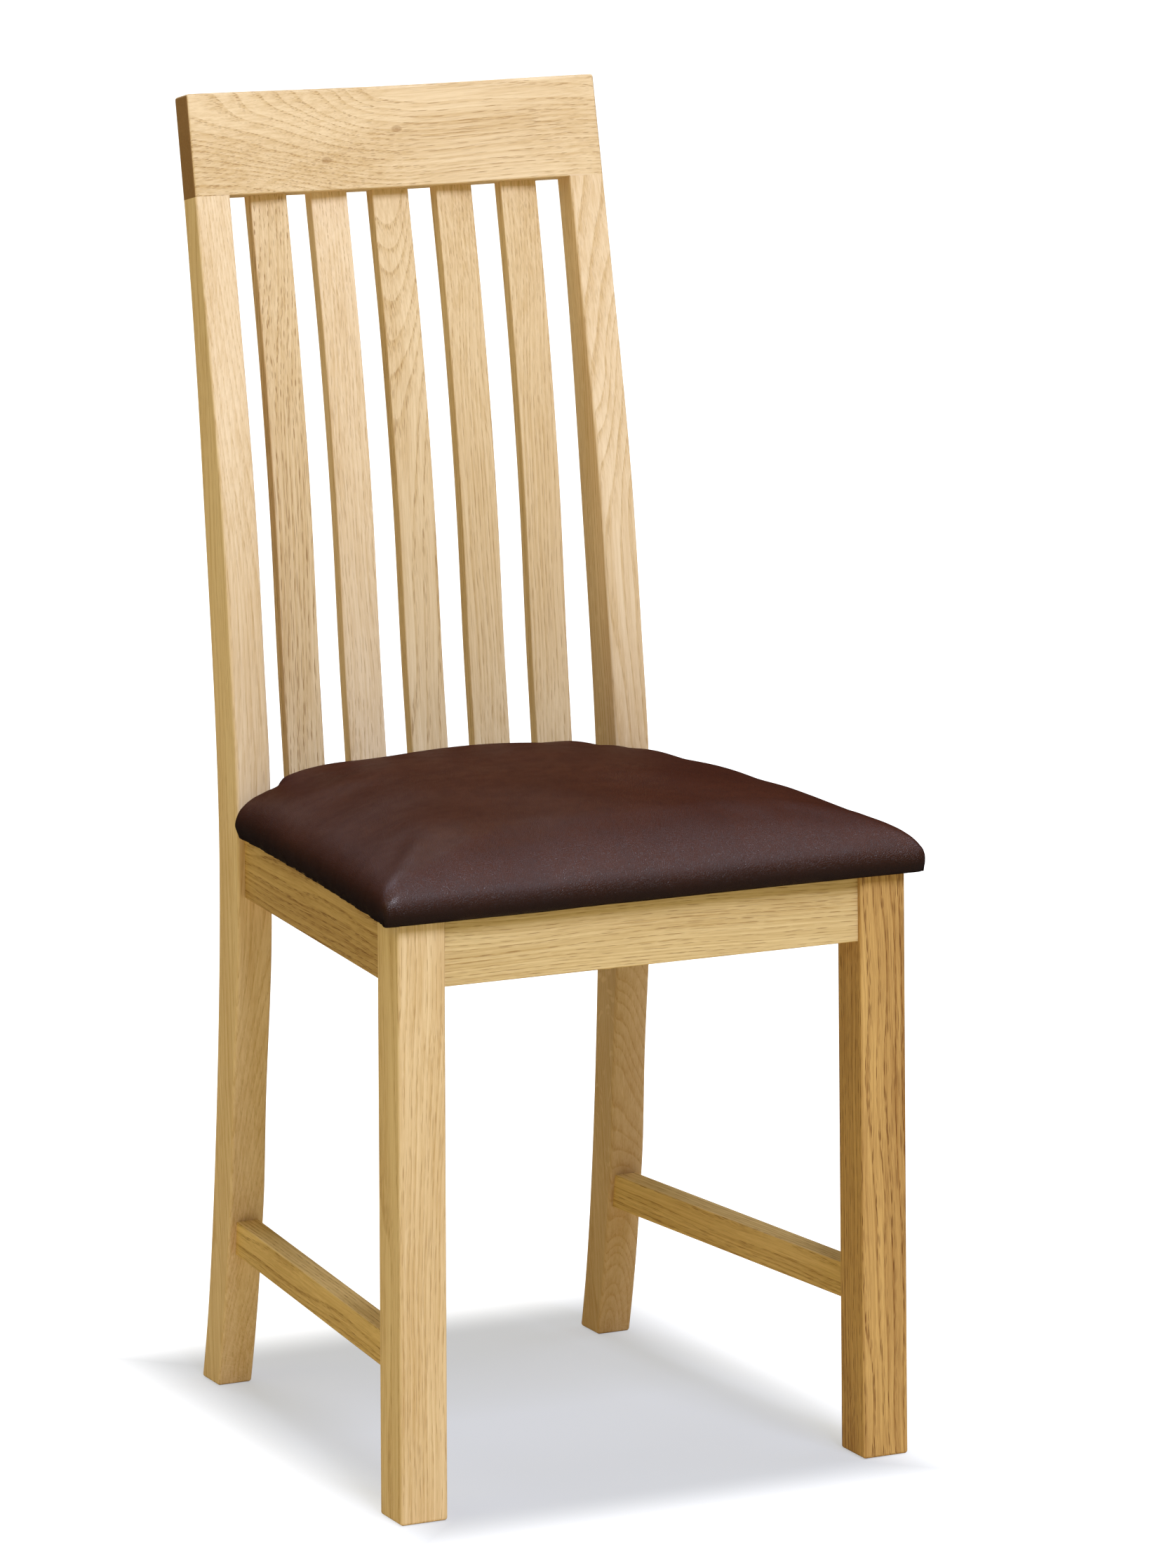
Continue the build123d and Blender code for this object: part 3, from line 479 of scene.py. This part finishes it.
def pad_point(edges, u, v, above):
    """A point of the pad's starting form; u and v run from -1 to 1 across and back."""
    low_y, rear, base = edges
    half = side_line((v + 1) / 2) - PAD_SIDE_PULL * (1 - v * v)
    x = u * half
    back = rear + PAD_TONGUE_BACK * smooth_step(PAD_TONGUE_X - abs(x), *PAD_TONGUE_EDGE)
    front = low_y + PAD_SIDE_PULL * (1 - u * u)
    y = front + (back - front) * (v + 1) / 2
    gaps = ((1 - abs(u)) * half, y - front, back - y)
    wave = PAD_HEM_WAVE * noise.noise((PAD_WAVE_SCALE * x, PAD_WAVE_SCALE * y, 0.0))
    rim = base + PAD_RIM_RISE + wave
    if not above:
        sag = (PAD_SAG - wave) * math.sin(math.pi * min(gaps[0], gaps[1], PAD_SAG_RUN) / PAD_SAG_RUN)
        under = rim - (rim - base) * rolled(min(gaps), *PAD_UNDER_ROLL)
        return Vector((x, y, under - sag))
    short = 0.0
    for gap, roll in zip(gaps, (PAD_SIDE_ROLL, PAD_FRONT_ROLL, PAD_REAR_ROLL)):
        short += (1 - rolled(gap, *roll)) ** PAD_CORNER_FULLNESS
    edge = 1 - min(short ** (1 / PAD_CORNER_FULLNESS), 1.0)
    dome = ((1 - u * u) * (1 - v * v)) ** PAD_CROWN_FULLNESS
    return Vector((x, y, rim + PAD_ROLL_RISE * edge + PAD_CROWN_RISE * dome))


def pad_form():
    """The closed starting form: an upper and a lower skin that meet at the rim."""
    mesh = bmesh.new()
    edges = pad_edges()
    for above in (True, False):
        rows = []
        for i in range(PAD_STEPS + 1):
            v = -math.cos(math.pi * i / PAD_STEPS)
            row = []
            for j in range(PAD_STEPS + 1):
                u = -math.cos(math.pi * j / PAD_STEPS)
                row.append(mesh.verts.new(pad_point(edges, u, v, above)))
            rows.append(row)
        for here, there in zip(rows, rows[1:]):
            for j in range(PAD_STEPS):
                mesh.faces.new((here[j], here[j + 1], there[j + 1], there[j]))
    bmesh.ops.remove_doubles(mesh, verts=mesh.verts, dist=1e-6)
    bmesh.ops.recalc_face_normals(mesh, faces=mesh.faces)
    return mesh


def link(name, mesh):
    """A new object from a bmesh."""
    data = bpy.data.meshes.new(name)
    mesh.to_mesh(data)
    mesh.free()
    made = bpy.data.objects.new(name, data)
    bpy.context.scene.collection.objects.link(made)
    return made


def apply_modifiers(piece):
    """Keep the shape that the modifiers give, without them."""
    view = bpy.context.evaluated_depsgraph_get()
    shaped = bpy.data.meshes.new_from_object(piece.evaluated_get(view))
    piece.modifiers.clear()
    piece.data = shaped


def remesh(piece):
    """Even quads all over."""
    modifier = piece.modifiers.new("even", "REMESH")
    modifier.mode = "VOXEL"
    modifier.voxel_size = PAD_VOXEL
    apply_modifiers(piece)


def inflate(piece):
    """Fill the cover with pressure by cloth simulation, its underside held down."""
    base = pad_edges()[2]
    rest = [v.co.copy() for v in piece.data.vertices]
    held = piece.vertex_groups.new(name="held")
    for index, point in enumerate(rest):
        weight = 1 - smooth_step(point.z, *[base + rise for rise in PAD_HELD])
        if weight > 0:
            held.add([index], weight, "REPLACE")
    cloth = piece.modifiers.new("cloth", "CLOTH")
    cloth.settings.vertex_group_mass = "held"
    cloth.settings.use_pressure = True
    cloth.settings.uniform_pressure_force = CLOTH_PRESSURE
    cloth.settings.tension_stiffness = CLOTH_STIFFNESS
    cloth.settings.compression_stiffness = CLOTH_STIFFNESS
    cloth.settings.bending_stiffness = CLOTH_BENDING
    cloth.settings.effector_weights.gravity = 0.0
    cloth.point_cache.frame_start = 1
    cloth.point_cache.frame_end = CLOTH_FRAMES
    for number in range(1, CLOTH_FRAMES + 1):
        bpy.context.scene.frame_set(number)
    apply_modifiers(piece)
    bpy.context.scene.frame_set(1)
    for vertex, start in zip(piece.data.vertices, rest):
        move = vertex.co - start
        if move.length > PAD_CAP:
            vertex.co = start + move * (PAD_CAP / move.length)


def flatten_underside(piece):
    """Level the underside after the smoothing, but for the overhanging edge, which sags."""
    low_y, rear, base = pad_edges()
    facings = [vertex.normal.z for vertex in piece.data.vertices]
    for vertex, facing in zip(piece.data.vertices, facings):
        x, y, z = vertex.co
        share = (y - low_y) / (rear - low_y)
        gap = min(side_line(share) - PAD_SIDE_PULL - abs(x), y - low_y - PAD_SIDE_PULL)
        if gap > PAD_SAG_RUN:
            vertex.co.z = max(z, base)
        if facing < UNDERSIDE_FACING:
            vertex.co.z = min(vertex.co.z, base)


def make_cushion():
    """The leather cover over its foam."""
    cushion = link("seat_cushion", pad_form())
    remesh(cushion)
    inflate(cushion)
    taut = cushion.modifiers.new("taut", "SMOOTH")
    taut.iterations = PAD_SMOOTHING
    fine = cushion.modifiers.new("fine", "SUBSURF")
    fine.levels = 1
    fine.render_levels = 1
    apply_modifiers(cushion)
    flatten_underside(cushion)
    cushion.data.shade_smooth()
    cushion.data.materials.append(leather())
    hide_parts("seat_cover", "seat_foam")
    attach(cushion, "root")
    return cushion


# ---- studio --------------------------------------------------------------
FLOOR_SIZE = 30.0
FLOOR_LEVEL = -0.0004
FLOOR_PAINTED_SHADOW_HALF = (0.165, 0.24)  # half the width and depth of the painted shadow below the seat
FLOOR_PAINTED_SHADOW_EDGE = (0.0, 0.14)   # and how far beyond it the floor turns white
FLOOR_GLOW = (0.44, 1.2)         # glow of its own that the camera sees: low in the painted shadow, and beyond it enough to turn the floor white
FLOOR_SEEN = (0.24, 0.235, 0.245, 1.0)
FLOOR_BOUNCE = (0.88, 0.74, 0.42, 1.0)   # tint of the light that it throws on the chair
FLOOR_MIRRORED = (0.10, 0.10, 0.10, 1.0)
WHITE = (1.0, 1.0, 1.0, 1.0)
WARM = (1.0, 0.91, 0.39, 1.0)
COOL = (0.64, 0.745, 1.0, 1.0)
# Soft boxes: name, place, the point it faces, side, power and tint.
SOFT_BOXES = (
    ("overhead", (-0.3, 0.0, 5.0), (0.0, 0.0, 0.4), 2.6, 45.0, COOL),
    ("front", (0.1, -4.6, 5.4), (0.0, 0.0, 0.5), 2.6, 485.0, COOL),
    ("left", (-4.5, -0.5, 4.0), (0.0, 0.0, 0.5), 3.0, 36.0, WARM),
    ("right", (4.5, -0.5, 4.0), (0.0, 0.0, 0.5), 3.0, 60.0, COOL),
    ("rear", (-0.4, 4.2, 4.8), (0.0, 0.0, 0.5), 3.0, 110.0, COOL),
)
# What the world lights, its tint and its strength; each line is over the one before.
WORLD_LIGHTS = (
    ("Is Diffuse Ray", WARM, 0.29),
    ("Is Glossy Ray", WHITE, 0.025),
    ("Is Camera Ray", WHITE, 1.05),
)


def make_floor():
    """A plain floor that glows white for the camera but for a painted shadow below the seat, deepened a
    little by the lamps' real shade, and clear from below.
    """
    s = Shader("studio_floor")
    rays = s.add("ShaderNodeLightPath").outputs
    seen = rays["Is Camera Ray"]
    parts = s.add("ShaderNodeSeparateXYZ", {0: s.place()}).outputs
    # Painted shadow: the floor glows less inside a box below the seat.
    beyond = [s.math("SUBTRACT", s.math("ABSOLUTE", parts[axis]), half)
              for axis, half in zip("XY", FLOOR_PAINTED_SHADOW_HALF)]
    glow_with_painted_shadow = s.span(s.math("MAXIMUM", *beyond), *FLOOR_PAINTED_SHADOW_EDGE, *FLOOR_GLOW)
    paint = s.blend(rays["Is Glossy Ray"], FLOOR_BOUNCE, FLOOR_MIRRORED)
    paint = s.blend(seen, paint, FLOOR_SEEN)
    s.finish(Base_Color=paint, Roughness=1.0, Specular_IOR_Level=0.0,
             Emission_Color=WHITE, Emission_Strength=s.math("MULTIPLY", seen, glow_with_painted_shadow))
    clear = s.add("ShaderNodeBsdfTransparent").outputs[0]
    behind = s.add("ShaderNodeNewGeometry").outputs["Backfacing"]
    share = s.math("MULTIPLY", behind, seen)
    both = s.add("ShaderNodeMixShader", {0: share, 1: s.surface.outputs[0], 2: clear})
    s.put(s.tree.nodes["Material Output"].inputs["Surface"], both.outputs[0])
    mesh = bmesh.new()
    bmesh.ops.create_grid(mesh, x_segments=4, y_segments=4, size=FLOOR_SIZE / 2)
    floor = link("floor", mesh)
    floor.location.z = FLOOR_LEVEL
    floor.data.materials.append(s.material)


def make_world():
    """White all round for the camera, and a dim soft light, dimmer in reflections, on the chair."""
    world = bpy.data.worlds.new("studio")
    bpy.context.scene.world = world
    world.use_nodes = True
    tree = world.node_tree
    rays = tree.nodes.new("ShaderNodeLightPath").outputs
    mixer = None
    for kind, tint, strength in WORLD_LIGHTS:
        layer = tree.nodes.new("ShaderNodeBackground")
        layer.inputs["Color"].default_value = tint
        layer.inputs["Strength"].default_value = strength
        shown = layer.outputs[0]
        if mixer is not None:
            choose = tree.nodes.new("ShaderNodeMixShader")
            tree.links.new(rays[kind], choose.inputs[0])
            tree.links.new(mixer, choose.inputs[1])
            tree.links.new(shown, choose.inputs[2])
            shown = choose.outputs[0]
        mixer = shown
    tree.links.new(mixer, tree.nodes["World Output"].inputs["Surface"])


def soft_box(name, place, target, size, power, tint):
    """A square area light that faces a point."""
    data = bpy.data.lights.new(name, "AREA")
    data.shape = "SQUARE"
    data.size = size
    data.energy = power
    data.color = tint[:3]
    lamp = bpy.data.objects.new(name, data)
    lamp.location = place
    lamp.rotation_mode = "QUATERNION"
    lamp.rotation_quaternion = (Vector(target) - Vector(place)).to_track_quat("-Z", "Y")
    bpy.context.scene.collection.objects.link(lamp)


def make_lights():
    """The main soft box high up in front, and weaker ones overhead, to both sides and behind."""
    for settings in SOFT_BOXES:
        soft_box(*settings)


def make_camera():
    """The camera, placed and aimed by the settings above. The camera, at the angle that
    the chair is judged from.
    """
    azimuth = math.radians(CAMERA_AZIMUTH)
    elevation = math.radians(CAMERA_ELEVATION)
    ahead = Vector((-math.sin(azimuth) * math.cos(elevation),
                    math.cos(azimuth) * math.cos(elevation),
                    -math.sin(elevation)))
    right = ahead.cross(Vector(UP)).normalized()
    above = right.cross(ahead)
    turn = Matrix.Rotation(math.radians(CAMERA_ROLL), 3, ahead)
    axes = Matrix((right, above, -ahead)).transposed()
    data = bpy.data.cameras.new("camera")
    data.lens = CAMERA_LENS
    data.sensor_width = CAMERA_SENSOR
    camera = bpy.data.objects.new("camera", data)
    camera.matrix_world = Matrix.Translation(CAMERA_PLACE) @ (turn @ axes).to_4x4()
    bpy.context.scene.collection.objects.link(camera)
    bpy.context.scene.camera = camera


make_camera()
make_world()
make_lights()
make_floor()
dress_oak()
dress_hidden()
make_cushion()
bpy.context.scene.view_settings.view_transform = "Standard"
